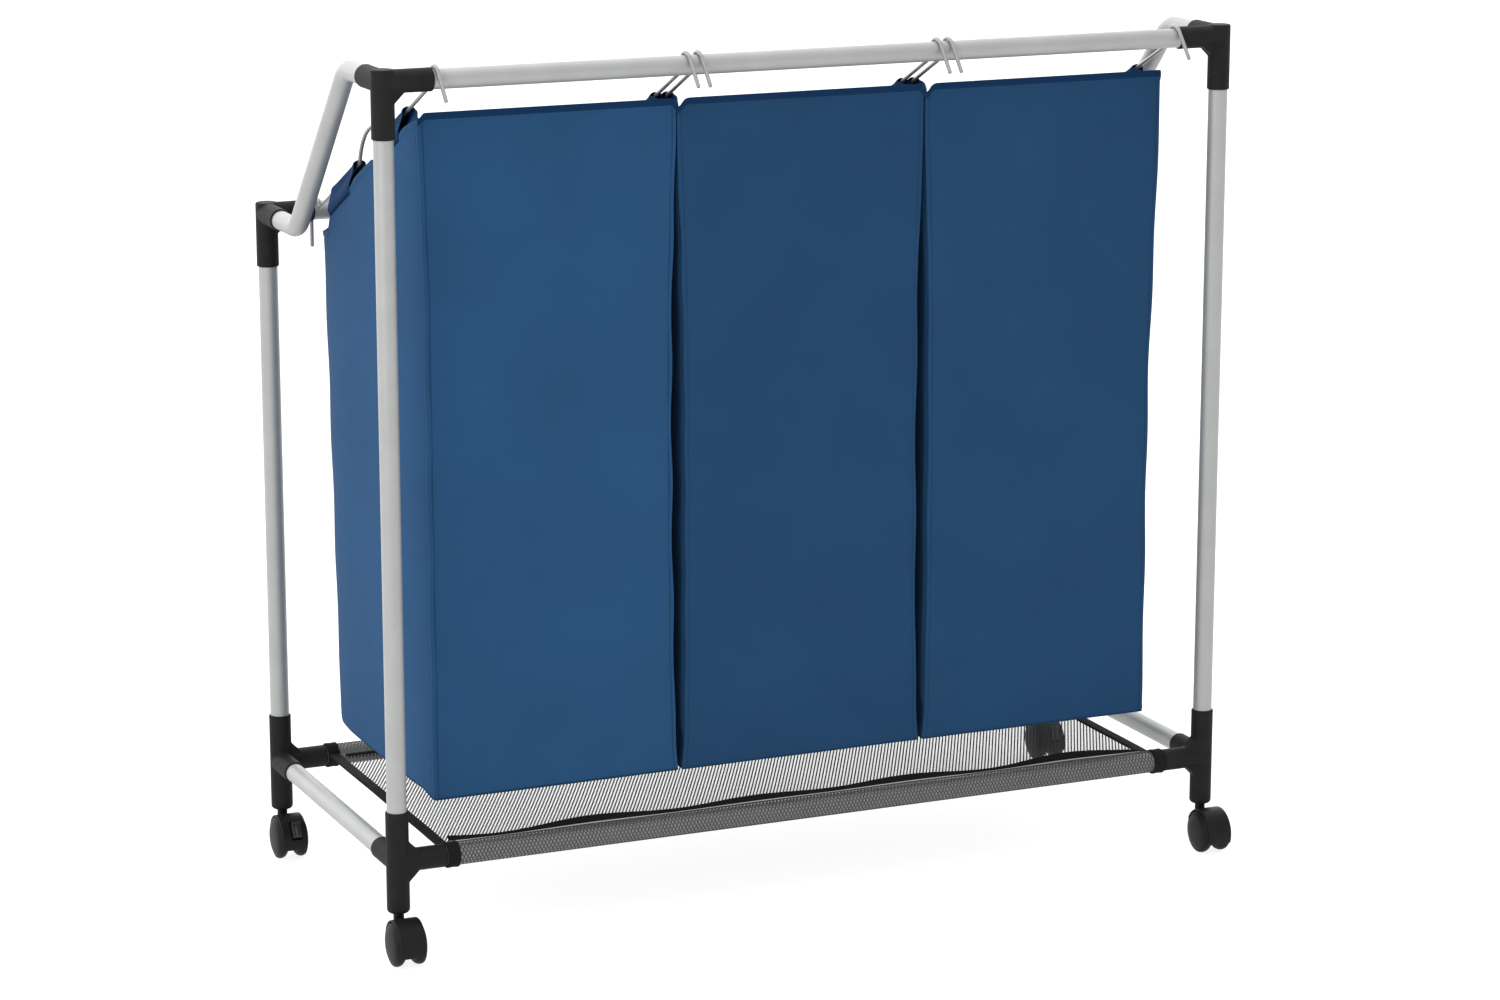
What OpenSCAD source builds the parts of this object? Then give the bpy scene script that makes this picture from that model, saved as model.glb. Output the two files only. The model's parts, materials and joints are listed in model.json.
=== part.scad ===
// Laundry sorter on wheels: three lift-off bags on a sloping tube rack, a mesh shelf and twin-wheel casters.
// Millimetres, +Z up, +X to the right along the width, -Y towards the tall side.
// The origin is on the floor, at the centre of the whole sorter's footprint.

/* [Frame] */
// Distance between the left and right post axes
post_span_x = 827; // [700:1:1000]
// Distance between the tall side's and the short side's post axes
post_span_y = 344; // [300:1:420]
// Height of the tall side's top tube axis
tall_tube_z = 794; // [760:1:850]
// Height of the short side's top tube axis
short_tube_z = 628.6; // [600:0.1:660]
// Height of the base tube axes
base_tube_z = 91.4; // [88:0.1:110]
// Outer diameter of every frame tube
tube_d = 18; // [16:0.5:19]
// Wall thickness of every frame tube
tube_wall = 0.8; // [0.6:0.1:1.5]
// Bend radius of the side bars, on their axis
side_bar_bend_r = 28; // [24:1:40]
// Distance from the middle of the depth to each side bar bend's corner
side_bar_corner_y = 77; // [70:1:82]

/* [Corner joints] */
// Outer diameter of the corner joints' arms
arm_d = 21; // [20.5:0.5:24]
// Length of a horizontal arm, from the post axis
arm_length = 45; // [40:1:50]
// Length of a top corner's downward arm, from the tube axis
top_arm_drop = 50.3; // [40:0.1:60]
// Length of a base corner's upward arm, from the tube axis
base_arm_rise = 47; // [35:0.1:50]
// Height of a base corner's lower end above the floor
corner_foot_z = 43.6; // [42.6:0.1:50]
// Leg of the gussets between the arms
gusset_leg = 8; // [5:1:14]
// Thickness of the gussets
gusset_t = 13; // [8:1:16]

/* [Casters] */
// Diameter of a wheel
wheel_d = 40; // [38:1:41]
// Distance of the wheel axle behind the swivel axis
caster_trail = 19; // [17:1:20]
// Outer radius of the hood over the wheels
hood_r = 22.5; // [22:0.1:23]
// Width of the hood
hood_w = 25; // [22:1:27]
// Outer width of the wheel pair
wheel_pair_w = 33; // [32:1:36]
// Diameter of the stem that fits the base corner
stem_d = 8; // [7:0.5:9]
// Diameter of the stem's journal inside the caster body
journal_d = 6; // [5:0.5:6]
// Diameter of the axle pin
axle_d = 4; // [3:0.5:5]

/* [Bags] */
// Distance between the centres of neighbouring bags
bag_pitch = 247.5; // [245:0.5:247.5]
// Outer width of a bag
bag_w = 241; // [236:0.5:242]
// Height of the bag's underside
bag_floor_z = 135; // [130:1:145]
// Height of the bag's tall edge
bag_tall_edge_z = 761; // [750:1:765]
// Height of the bag's short edge
bag_short_edge_z = 625; // [615:1:628]
// Thickness of the bag's walls
bag_wall = 2; // [1.5:0.5:3]
// Thickness of the board in the bag's floor
board_t = 3; // [2:0.5:4]
// Diameter of the bag rods
rod_d = 3.6; // [3:0.1:4]
// Distance between the two rods of a bag
rod_span = 236; // [230:0.5:237]

/* [Mesh shelf] */
// Outer diameter of the shelf's sleeves round the base tubes
sleeve_d = 21; // [21:0.1:26]
// Thickness of the mesh
mesh_t = 1.2; // [0.8:0.1:2]
// Width of the binding at the shelf's ends
binding_w = 12; // [8:1:16]

/* [Hidden] */
$fn = 48;
eps = 0.01;
// Radial play between a pressed tube and its socket, and between a shaft and its bearing
socket_play = 0.05;
bearing_play = 0.05;
// Gap between parts that pass each other
part_gap = 0.3;
// How far a straight runs into a bend, and how much thicker the bend is
bend_lap = 0.2;
bend_swell = 0.05;

half_x = post_span_x / 2;
half_y = post_span_y / 2;
tube_r = tube_d / 2;
arm_r = arm_d / 2;
// How far a top corner's flat cap stands above its arms
corner_cap = 0.4;
// Sockets and tube ends stop this far from a corner's centre
socket_stop = 13;
tube_stop = 14;

// Bag rods: a slope between the two top tubes, with a hook over each tube and a raised handle in the middle
rod_r = rod_d / 2;
rod_slope = 25.85;
rod_mid_z = 709.3;
hook_play = 0.4;
hook_r = tube_r + rod_r + hook_play;
rod_bend_r = 4;
tall_hook_tip = [-199.5, 778.4];
tall_hook_lean = 50;
short_hook_tip_z = 593.3;
short_hook_back = 12;
short_hook_bend_r = 3;
handle_half = 41;
handle_angle = 47;
handle_bend_r = 52;
handle_foot_r = 8;

// The bag seen from its side: where its walls stand, from the middle of the depth
bag_tall_foot_y = -147;
bag_tall_top_y = -150;
bag_short_foot_y = 112;
bag_short_heel_y = 122;
bag_short_top_y = 140;
bag_heel_rise = 11;
bag_edge_drop = 12;

// Bag sewing: the casings that hold the rods, and the seam below them
seam_drop = 26;
casing_near = 45;
casing_far = 111;
casing_t = 5;
casing_r = 3.2;
casing_bore_r = rod_r + 0.5;

// Casters
wheel_r = wheel_d / 2;
web_half = 4.4;
wheel_in = 4.8;
tread_in = 7.2;
tread_out = 13.8;
neck_r = 5;
neck_top_z = corner_foot_z - part_gap;
journal_foot_z = 26;
stem_top_z = 77;
hood_in_r = wheel_r + 0.8;
hood_span = [-22, 158];
brake_pivot_r = 15;
brake_angle = 31;
brake_pin_r = 1.2;
pad_x = [-2.5, 6.5];
pad_r = [22.7, 24.2];
pad_span = [13, 49];

shelf_top_z = base_tube_z + 1.8;
sleeve_r = sleeve_d / 2;
binding_ring_r = sleeve_r + 1.5;
binding_t = 1.6;
sleeve_seam_y = 146;
sleeve_seam_w = 5;
sleeve_seam_rise = 0.8;

// The wheels trail on the tall side and the hooks reach past the short side, so the footprint
// isn't centred on the posts
footprint_tall = half_y + caster_trail + hood_r;
footprint_short = half_y + short_hook_back + rod_r;
middle_y = (footprint_tall - footprint_short) / 2;

// Corner signs: [x, y], where y = -1 is the tall side
tall_left = [-1, -1];
tall_right = [1, -1];
short_left = [-1, 1];
short_right = [1, 1];

// ---- helpers ----

// Everything is drawn with the posts centred on Y = 0, then moved so that the footprint is centred
module placed() {
    translate([0, middle_y, 0]) children();
}

// A disc, or a flat ring where inner is over 0
module ring(outer, inner) {
    difference() {
        circle(r = outer);
        if (inner > 0) circle(r = inner);
    }
}

function unit(v) = v / norm(v);
function heading(v) = atan2(v[1], v[0]);
function cross2(a, b) = a[0] * b[1] - a[1] * b[0];
function turn_angle(p, i) =
    let (a = unit(p[i] - p[i - 1]), b = unit(p[i + 1] - p[i]))
    atan2(cross2(a, b), a * b);
// Length that the bend at corner i takes from the straights beside it
function bend_reach(p, r, i) = i == 0 || i == len(p) - 1 ? 0 : r[i] * tan(abs(turn_angle(p, i)) / 2);

// A round bar along a line of corners in the XY plane, with a true bend of radius r[i] at corner i.
// It is a tube where bore_r is over 0. The bends are thicker by a hair, inside and out, and the
// straights run a little way into them, so that they join cleanly.
module bent_bar_flat(p, r, bar_r, bore_r) {
    last = len(p) - 1;
    for (i = [0:last - 1]) {
        along = unit(p[i + 1] - p[i]);
        start = p[i] + along * (i == 0 ? 0 : bend_reach(p, r, i) - bend_lap);
        end = p[i + 1] - along * (i == last - 1 ? 0 : bend_reach(p, r, i + 1) - bend_lap);
        translate([start[0], start[1], 0])
            rotate([0, 0, heading(along)])
                rotate([0, 90, 0])
                    linear_extrude(norm(end - start)) ring(bar_r, bore_r);
    }
    for (i = [1:last - 1]) {
        along = unit(p[i] - p[i - 1]);
        turn = turn_angle(p, i);
        side = sign(turn);
        start = p[i] - along * bend_reach(p, r, i);
        centre = start + side * r[i] * [-along[1], along[0]];
        translate([centre[0], centre[1], 0])
            rotate([0, 0, heading(start - centre) + min(turn, 0)])
                rotate_extrude(angle = abs(turn))
                    translate([r[i], 0]) ring(bar_r + bend_swell, bore_r - bend_swell);
    }
}

// The same bar in a plane of constant X: corners are [y, z]
module bent_bar(p, r, bar_r, bore_r = 0) {
    rotate([90, 0, 90]) bent_bar_flat(p, r, bar_r, bore_r);
}

// A flat outline of [y, z] points, w wide in X and centred on X = 0
module slab_x(outline, w) {
    rotate([90, 0, 90]) linear_extrude(w, center = true) polygon(outline);
}

// A straight tube from a to b along one axis: 0 is X, 1 is Y, 2 is Z
module tube_along(axis, a, b) {
    turned = [[0, 90, 0], [-90, 0, 0], [0, 0, 0]];
    rotate(turned[axis])
        translate([0, 0, a]) difference() {
            cylinder(h = b - a, r = tube_r);
            translate([0, 0, -1]) cylinder(h = b - a + 2, r = tube_r - tube_wall);
        }
}

// ---- frame ----

module post(corner, top_z) {
    color("gainsboro")
        placed() translate([corner[0] * half_x, corner[1] * half_y, 0])
            tube_along(2, base_tube_z + tube_stop, top_z - tube_stop);
}

module long_tube(side, z) {
    color("gainsboro")
        placed() translate([0, side * half_y, z])
            tube_along(0, -half_x + tube_stop, half_x - tube_stop);
}

module base_end_tube(side) {
    color("gainsboro")
        placed() translate([side * half_x, 0, base_tube_z])
            tube_along(1, -half_y + tube_stop, half_y - tube_stop);
}

// The side bar leaves the tall corner level, slopes down, and enters the short corner level
module side_bar(side) {
    end_y = half_y - tube_stop;
    corners = [
        [-end_y, tall_tube_z], [-side_bar_corner_y, tall_tube_z],
        [side_bar_corner_y, short_tube_z], [end_y, short_tube_z]
    ];
    bends = [0, side_bar_bend_r, side_bar_bend_r, 0];
    color("gainsboro")
        placed() translate([side * half_x, 0, 0])
            bent_bar(corners, bends, tube_r, tube_r - tube_wall);
}

// ---- corner joints ----

module arm(length) {
    cylinder(h = length, r = arm_r);
}

// The upright sleeve of a corner, from height a to height b
module upright(a, b) {
    translate([0, 0, a]) cylinder(h = b - a, r = arm_r);
}

module socket(mouth) {
    translate([0, 0, socket_stop]) cylinder(h = mouth - socket_stop + 1, r = tube_r + socket_play);
}

// A gusset in the XZ plane, in the angle between the X arm and the Z arm
module gusset(z_side) {
    reach = arm_r + gusset_leg;
    rotate([90, 0, 0])
        linear_extrude(gusset_t, center = true)
            polygon([[0, 0], [reach, z_side * (arm_r - 1)], [arm_r - 1, z_side * reach]]);
}

// The horizontal arms and their sockets, for a corner whose arms point to +X and +Y
module corner_arms() {
    rotate([0, 90, 0]) arm(arm_length);
    rotate([-90, 0, 0]) arm(arm_length);
}

module corner_arm_sockets() {
    rotate([0, 90, 0]) socket(arm_length);
    rotate([-90, 0, 0]) socket(arm_length);
}

// Mirrors a +X, +Y corner so that its arms point into the frame
module at_corner(corner, z) {
    placed() translate([corner[0] * half_x, corner[1] * half_y, z])
        mirror([corner[0] > 0 ? 1 : 0, 0, 0])
            mirror([0, corner[1] > 0 ? 1 : 0, 0])
                children();
}

module top_corner(corner, z) {
    color("#2b2b2b")
        at_corner(corner, z) difference() {
            union() {
                corner_arms();
                upright(-top_arm_drop, arm_r + corner_cap);
                gusset(-1);
            }
            corner_arm_sockets();
            rotate([180, 0, 0]) socket(top_arm_drop);
        }
}

module base_corner(corner) {
    drop = base_tube_z - corner_foot_z;
    foot_chamfer = 3;
    foot_r = 7.5;
    color("#2b2b2b")
        at_corner(corner, base_tube_z) difference() {
            union() {
                corner_arms();
                upright(foot_chamfer - drop, base_arm_rise);
                translate([0, 0, -drop]) cylinder(h = foot_chamfer, r1 = foot_r, r2 = arm_r);
                gusset(1);
                gusset(-1);
            }
            corner_arm_sockets();
            socket(base_arm_rise);
            translate([0, 0, -drop - 1])
                cylinder(h = stem_top_z - corner_foot_z + 2, r = stem_d / 2 + socket_play);
        }
}

// ---- mesh shelf ----

shelf_half_x = half_x - arm_length;
mesh_half_x = shelf_half_x - binding_w;

// The seams that close the sleeves: flat bands let into the top of the mesh, just inside each sleeve
module sleeve_seams(depth) {
    for (side = [-1, 1])
        translate([-mesh_half_x, side * sleeve_seam_y - sleeve_seam_w / 2, shelf_top_z - depth])
            cube([2 * mesh_half_x, sleeve_seam_w, depth + sleeve_seam_rise]);
}

module sleeve_bores(r) {
    for (side = [-1, 1])
        translate([0, side * half_y, base_tube_z])
            rotate([0, 90, 0]) cylinder(h = post_span_x, r = r, center = true);
}

module mesh_shelf() {
    color("lightgray")
        placed() difference() {
            union() {
                translate([-mesh_half_x, -half_y, shelf_top_z - mesh_t])
                    cube([2 * mesh_half_x, post_span_y, mesh_t]);
                for (side = [-1, 1])
                    translate([0, side * half_y, base_tube_z])
                        rotate([0, 90, 0]) cylinder(h = 2 * mesh_half_x, r = sleeve_r, center = true);
            }
            sleeve_bores(sleeve_r - mesh_t);
            sleeve_seams(mesh_t / 2);
        }
}

// Black binding: a strip across each end with a ring round each sleeve's end, and the two sleeve seams
module shelf_binding() {
    end_w = binding_w - part_gap;
    end_x = shelf_half_x - part_gap - end_w / 2;
    color("#1c1c1c")
        placed() {
            difference() {
                for (x = [-end_x, end_x]) {
                    translate([x - end_w / 2, -half_y, shelf_top_z - binding_t])
                        cube([end_w, post_span_y, binding_t]);
                    for (side = [-1, 1])
                        translate([x, side * half_y, base_tube_z])
                            rotate([0, 90, 0]) cylinder(h = end_w, r = binding_ring_r, center = true);
                }
                sleeve_bores(sleeve_r - mesh_t);
            }
            sleeve_seams(mesh_t / 2);
        }
}

// ---- casters ----

// Children are drawn with the swivel axis on X = Y = 0, the floor at Z = 0 and the wheels towards -Y
module at_caster(corner) {
    placed() translate([corner[0] * half_x, corner[1] * half_y, 0]) children();
}

// Children are drawn with the axle along X through the origin
module at_axle() {
    translate([0, -caster_trail, wheel_r]) children();
}

module caster_stem(corner) {
    collar_r = stem_d / 2 - 0.8;
    journal_length = corner_foot_z - journal_foot_z + eps;
    color("silver")
        at_caster(corner) difference() {
            union() {
                translate([0, 0, corner_foot_z]) cylinder(h = stem_top_z - corner_foot_z - 2, r = stem_d / 2);
                translate([0, 0, stem_top_z - 2]) cylinder(h = 2, r1 = stem_d / 2, r2 = collar_r);
                translate([0, 0, journal_foot_z]) cylinder(h = journal_length, r = journal_d / 2);
            }
            translate([0, 0, stem_top_z - 8]) difference() {
                cylinder(h = 3, r = stem_d);
                translate([0, 0, -1]) cylinder(h = 5, r = collar_r);
            }
        }
}

// A sector about the axle, from angle a to angle b, where 0 is towards -Y and 90 is up
module axle_sector(r, a, b, w) {
    steps = 6;
    reach = r / cos((b - a) / steps / 2);
    outline = [[0, 0], for (i = [0:steps]) let (t = a + (b - a) * i / steps) reach * [-cos(t), sin(t)]];
    slab_x(outline, w);
}

module hood_shell() {
    intersection() {
        difference() {
            rotate([0, 90, 0]) cylinder(h = hood_w, r = hood_r, center = true);
            rotate([0, 90, 0]) cylinder(h = hood_w + 2, r = hood_in_r, center = true);
        }
        axle_sector(hood_r + 3, hood_span[0], hood_span[1], hood_w + 4);
    }
}

// The window in the hood and the slot in the web that the brake lever works in
module brake_room() {
    window_w = pad_x[1] - pad_x[0] + 1.6;
    intersection() {
        translate([(pad_x[0] + pad_x[1]) / 2, 0, 0])
            rotate([0, 90, 0]) difference() {
                cylinder(h = window_w, r = hood_r + 4, center = true);
                cylinder(h = window_w + 2, r = wheel_r + 0.2, center = true);
            }
        axle_sector(hood_r + 8, pad_span[0] - 6, pad_span[1] + 6, 40);
    }
    intersection() {
        rotate([0, 90, 0]) difference() {
            cylinder(h = 6, r = hood_r + 4, center = true);
            cylinder(h = 8, r = 11.5, center = true);
        }
        axle_sector(hood_r + 8, brake_angle - 14, brake_angle + 14, 40);
    }
}

module brake_pivot() {
    translate([0, -brake_pivot_r * cos(brake_angle), brake_pivot_r * sin(brake_angle)])
        rotate([0, 90, 0]) children();
}

module caster_body(corner, braked) {
    web_r = 17.5;
    rim_r = (hood_in_r + hood_r) / 2;
    web_low = -10.5;
    neck_low = neck_top_z - 14;
    color("#232323")
        at_caster(corner) difference() {
            union() {
                at_axle() {
                    hood_shell();
                    intersection() {
                        union() {
                            rotate([0, 90, 0]) cylinder(h = 2 * web_half, r = web_r, center = true);
                            intersection() {
                                rotate([0, 90, 0]) cylinder(h = 2 * web_half, r = rim_r, center = true);
                                axle_sector(hood_r + 3, hood_span[0] + 1, hood_span[1] - 1, 2 * web_half + 2);
                            }
                        }
                        translate([-web_half - 1, -30, web_low]) cube([2 * web_half + 2, 60, 60]);
                    }
                }
                translate([-web_half, -caster_trail, 14]) cube([2 * web_half, caster_trail + 4, 18]);
                translate([0, 0, neck_low]) cylinder(h = neck_top_z - neck_low, r = neck_r);
            }
            at_axle() rotate([0, 90, 0]) cylinder(h = 40, r = axle_d / 2, center = true);
            // The wheels' room ends a hair inside the hood, so that the two round faces don't coincide
            for (side = [-1, 1])
                translate([side * (wheel_in - part_gap + 10), -caster_trail, wheel_r])
                    rotate([0, 90, 0]) cylinder(h = 20, r = hood_in_r - eps, center = true);
            translate([0, 0, journal_foot_z - part_gap]) cylinder(h = 30, r = journal_d / 2 + bearing_play);
            if (braked) {
                at_axle() {
                    brake_room();
                    brake_pivot()
                        cylinder(h = 2 * web_half + 1, r = brake_pin_r + bearing_play, center = true);
                }
            }
        }
}

module caster_axle(corner) {
    color("silver")
        at_caster(corner) at_axle()
            rotate([0, 90, 0]) cylinder(h = wheel_pair_w - 5, r = axle_d / 2, center = true);
}

// One wheel: side is -1 for the wheel on the left of the body and 1 for the right
module wheel(corner, side) {
    out = wheel_pair_w / 2;
    bore_end = out - 2.2;
    profile = [
        [axle_d / 2 + bearing_play, wheel_in], [6, wheel_in], [6, 8.5], [14.5, 8.5], [14.5, wheel_in],
        [wheel_r - 2, wheel_in], [wheel_r, tread_in], [wheel_r, tread_out], [wheel_r - 1.2, out - 1.6],
        [wheel_r - 4, out - 0.6], [12, out - 0.2], [9, out - 0.8], [6, out - 0.2], [0, out], [0, bore_end],
        [axle_d / 2 + bearing_play, bore_end]
    ];
    color("#262626")
        at_caster(corner) at_axle()
            rotate([0, side * 90, 0]) rotate_extrude() polygon(profile);
}

module brake_lever(corner) {
    stalk_half = 2.5;
    pad_mid = (pad_x[0] + pad_x[1]) / 2;
    pad_w = pad_x[1] - pad_x[0];
    lip_r = 26.2;
    color("#303030")
        at_caster(corner) at_axle() {
            intersection() {
                translate([pad_mid, 0, 0]) rotate([0, 90, 0]) difference() {
                    cylinder(h = pad_w, r = pad_r[1], center = true);
                    cylinder(h = pad_w + 2, r = pad_r[0], center = true);
                }
                axle_sector(hood_r + 8, pad_span[0], pad_span[1], 40);
            }
            intersection() {
                translate([pad_mid, 0, 0]) rotate([0, 90, 0]) difference() {
                    cylinder(h = pad_w, r = lip_r, center = true);
                    cylinder(h = pad_w + 2, r = pad_r[0], center = true);
                }
                axle_sector(hood_r + 8, pad_span[1] - 4, pad_span[1], 40);
            }
            intersection() {
                rotate([0, 90, 0]) difference() {
                    cylinder(h = 2 * stalk_half, r = pad_r[0] + 0.5, center = true);
                    cylinder(h = 2 * stalk_half + 2, r = brake_pivot_r, center = true);
                }
                axle_sector(hood_r + 8, brake_angle - 7, brake_angle + 7, 40);
            }
            brake_pivot() cylinder(h = 2 * stalk_half, r = brake_pin_r + 0.9, center = true);
            brake_pivot() cylinder(h = 2 * web_half, r = brake_pin_r, center = true);
        }
}

// ---- bags ----

function rod_line_z(y) = rod_mid_z - y * tan(rod_slope);
function seam_z(y) = rod_line_z(y) - seam_drop;
// A point s along the rod's slope, counted towards the tall side, and n above it
function on_rod(s, n = 0) =
    [-s * cos(rod_slope) + n * sin(rod_slope), rod_mid_z + s * sin(rod_slope) + n * cos(rod_slope)];

module bag_rod(bag, side) {
    tall_back_y = -half_y + hook_r;
    lean_tan = tan(tall_hook_lean);
    // where the leaning leg's tangent to the hook circle meets the hook's upright
    touch = [-half_y - hook_r * sin(tall_hook_lean), tall_tube_z + hook_r * cos(tall_hook_lean)];
    hook_peak = [tall_back_y, touch[1] + (tall_back_y - touch[0]) * lean_tan];
    tip = [touch[0] - (touch[1] - tall_hook_tip[1]) / lean_tan, tall_hook_tip[1]];
    short_near_y = half_y - hook_r - 0.8;
    short_far_y = half_y + short_hook_back;
    short_top_z = short_tube_z + hook_r;
    handle_peak = on_rod(0, handle_half * tan(handle_angle));
    corners = [
        tip, hook_peak, [tall_back_y, rod_line_z(tall_back_y)],
        on_rod(handle_half), handle_peak, on_rod(-handle_half),
        [short_near_y, rod_line_z(short_near_y)], [short_near_y, short_top_z], [short_far_y, short_top_z],
        [short_far_y, short_hook_tip_z]
    ];
    bends = [
        0, hook_r, rod_bend_r, handle_foot_r, handle_bend_r, handle_foot_r,
        short_hook_bend_r, short_hook_bend_r, hook_r, 0
    ];
    color("darkgray")
        placed() translate([bag * bag_pitch + side * rod_span / 2, 0, 0]) {
            bent_bar(corners, bends, rod_r);
            for (end = [corners[0], corners[len(corners) - 1]])
                translate([0, end[0], end[1]]) sphere(r = rod_r + bend_swell);
        }
}

bag_outline = [
    [bag_tall_foot_y, bag_floor_z], [bag_short_foot_y, bag_floor_z],
    [bag_short_heel_y, bag_floor_z + bag_heel_rise], [bag_short_top_y, bag_short_edge_z - bag_edge_drop],
    [bag_short_top_y - 2, bag_short_edge_z], [bag_short_top_y - 9, seam_z(bag_short_top_y - 9)],
    [bag_tall_top_y + 20, seam_z(bag_tall_top_y + 20)],
    [bag_tall_top_y + 4, bag_tall_edge_z], [bag_tall_top_y, bag_tall_edge_z]
];
bag_inside = [
    [bag_tall_foot_y + bag_wall, bag_floor_z + bag_wall],
    [bag_short_foot_y - bag_wall / 2, bag_floor_z + bag_wall],
    [bag_short_heel_y - bag_wall, bag_floor_z + bag_heel_rise + 1],
    [bag_short_top_y - bag_wall, bag_short_edge_z - bag_edge_drop],
    [bag_short_top_y - bag_wall, bag_tall_edge_z + 20],
    [bag_tall_top_y + bag_wall, bag_tall_edge_z + 20]
];

// A casing is a flat sleeve of cloth round the rod, from a to b along the slope, sewn to the side wall
module casing(side, a, b) {
    foot = -seam_drop * cos(rod_slope) - 1;
    rotate([90, 0, 90])
        translate([0, rod_mid_z, 0]) rotate([0, 0, -rod_slope])
            translate([-b, 0, 0]) {
                translate([0, foot, side * (rod_span / 2) - casing_t / 2]) cube([b - a, -foot, casing_t]);
                translate([0, 0, side * rod_span / 2]) rotate([0, 90, 0]) cylinder(h = b - a, r = casing_r);
            }
}

module bag_fabric(bag) {
    color("#2d5278")
        placed() translate([bag * bag_pitch, 0, 0]) difference() {
            union() {
                difference() {
                    slab_x(bag_outline, bag_w);
                    slab_x(bag_inside, bag_w - 2 * bag_wall);
                }
                for (side = [-1, 1]) {
                    casing(side, casing_near, casing_far);
                    casing(side, -casing_far, -casing_near);
                }
            }
            for (side = [-1, 1])
                translate([side * rod_span / 2, 0, rod_mid_z])
                    rotate([-rod_slope, 0, 0]) rotate([90, 0, 0])
                        cylinder(h = 4 * casing_far, r = casing_bore_r, center = true);
        }
}

module bag_board(bag) {
    margin = 2.5;
    y0 = bag_tall_foot_y + bag_wall + margin;
    y1 = bag_short_foot_y - bag_wall / 2 - margin;
    half_w = bag_w / 2 - bag_wall - margin;
    color("#6f7479")
        placed() translate([bag * bag_pitch, 0, bag_floor_z + bag_wall])
            translate([-half_w, y0, 0]) cube([2 * half_w, y1 - y0, board_t]);
}

// ---- nodes ----

post(tall_left, tall_tube_z);  // tall_post_left
post(tall_right, tall_tube_z);  // tall_post_right
post(short_left, short_tube_z);  // short_post_left
post(short_right, short_tube_z);  // short_post_right
long_tube(-1, tall_tube_z);  // top_tube_tall
long_tube(1, short_tube_z);  // top_tube_short
side_bar(-1);  // side_bar_left
side_bar(1);  // side_bar_right
long_tube(-1, base_tube_z);  // base_tube_tall
long_tube(1, base_tube_z);  // base_tube_short
base_end_tube(-1);  // base_tube_left
base_end_tube(1);  // base_tube_right
top_corner(tall_left, tall_tube_z);  // top_corner_tall_left
top_corner(tall_right, tall_tube_z);  // top_corner_tall_right
top_corner(short_left, short_tube_z);  // top_corner_short_left
top_corner(short_right, short_tube_z);  // top_corner_short_right
base_corner(tall_left);  // base_corner_tall_left
base_corner(tall_right);  // base_corner_tall_right
base_corner(short_left);  // base_corner_short_left
base_corner(short_right);  // base_corner_short_right
mesh_shelf();
shelf_binding();
caster_stem(tall_left);  // caster_stem_tall_left
caster_stem(tall_right);  // caster_stem_tall_right
caster_stem(short_left);  // caster_stem_short_left
caster_stem(short_right);  // caster_stem_short_right
caster_body(tall_left, false);  // caster_body_tall_left
caster_body(tall_right, false);  // caster_body_tall_right
caster_body(short_left, true);  // caster_body_short_left
caster_body(short_right, true);  // caster_body_short_right
caster_axle(tall_left);  // caster_axle_tall_left
caster_axle(tall_right);  // caster_axle_tall_right
caster_axle(short_left);  // caster_axle_short_left
caster_axle(short_right);  // caster_axle_short_right
wheel(tall_left, -1);  // wheel_tall_left_a
wheel(tall_left, 1);  // wheel_tall_left_b
wheel(tall_right, -1);  // wheel_tall_right_a
wheel(tall_right, 1);  // wheel_tall_right_b
wheel(short_left, -1);  // wheel_short_left_a
wheel(short_left, 1);  // wheel_short_left_b
wheel(short_right, -1);  // wheel_short_right_a
wheel(short_right, 1);  // wheel_short_right_b
brake_lever(short_left);  // brake_lever_left
brake_lever(short_right);  // brake_lever_right
bag_fabric(-1);  // bag_fabric_left
bag_fabric(0);  // bag_fabric_middle
bag_fabric(1);  // bag_fabric_right
bag_board(-1);  // bag_board_left
bag_board(0);  // bag_board_middle
bag_board(1);  // bag_board_right
bag_rod(-1, -1);  // bag_left_rod_a
bag_rod(-1, 1);  // bag_left_rod_b
bag_rod(0, -1);  // bag_middle_rod_a
bag_rod(0, 1);  // bag_middle_rod_b
bag_rod(1, -1);  // bag_right_rod_a
bag_rod(1, 1);  // bag_right_rod_b
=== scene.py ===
"""Looks of a rolling laundry sorter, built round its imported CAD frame.

Lengths are in metres, and MM is one millimetre. +X is right, -Y is the tall side, +Z is up.
"""
import json
import math
import random

import bmesh
import bpy
import numpy as np
from mathutils import Matrix, Vector


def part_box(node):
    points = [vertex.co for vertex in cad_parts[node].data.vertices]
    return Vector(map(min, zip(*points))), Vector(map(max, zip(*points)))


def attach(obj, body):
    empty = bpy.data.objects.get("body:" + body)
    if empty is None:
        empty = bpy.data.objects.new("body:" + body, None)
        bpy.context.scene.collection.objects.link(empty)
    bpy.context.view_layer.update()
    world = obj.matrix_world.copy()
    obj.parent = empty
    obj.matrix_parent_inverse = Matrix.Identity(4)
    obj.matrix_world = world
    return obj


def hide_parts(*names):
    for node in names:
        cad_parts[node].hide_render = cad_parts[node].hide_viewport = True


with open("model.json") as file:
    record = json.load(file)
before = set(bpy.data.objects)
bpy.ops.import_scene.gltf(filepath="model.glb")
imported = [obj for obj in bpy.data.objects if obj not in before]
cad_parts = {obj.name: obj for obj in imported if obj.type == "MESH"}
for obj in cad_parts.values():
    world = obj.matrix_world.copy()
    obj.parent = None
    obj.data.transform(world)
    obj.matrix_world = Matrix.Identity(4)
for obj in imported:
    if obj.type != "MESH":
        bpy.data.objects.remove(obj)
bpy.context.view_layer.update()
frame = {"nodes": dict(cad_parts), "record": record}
MM = 0.001

# ---- places taken from the frame ----


def middle(node):
    low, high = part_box(node)
    return (low + high) / 2


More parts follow.
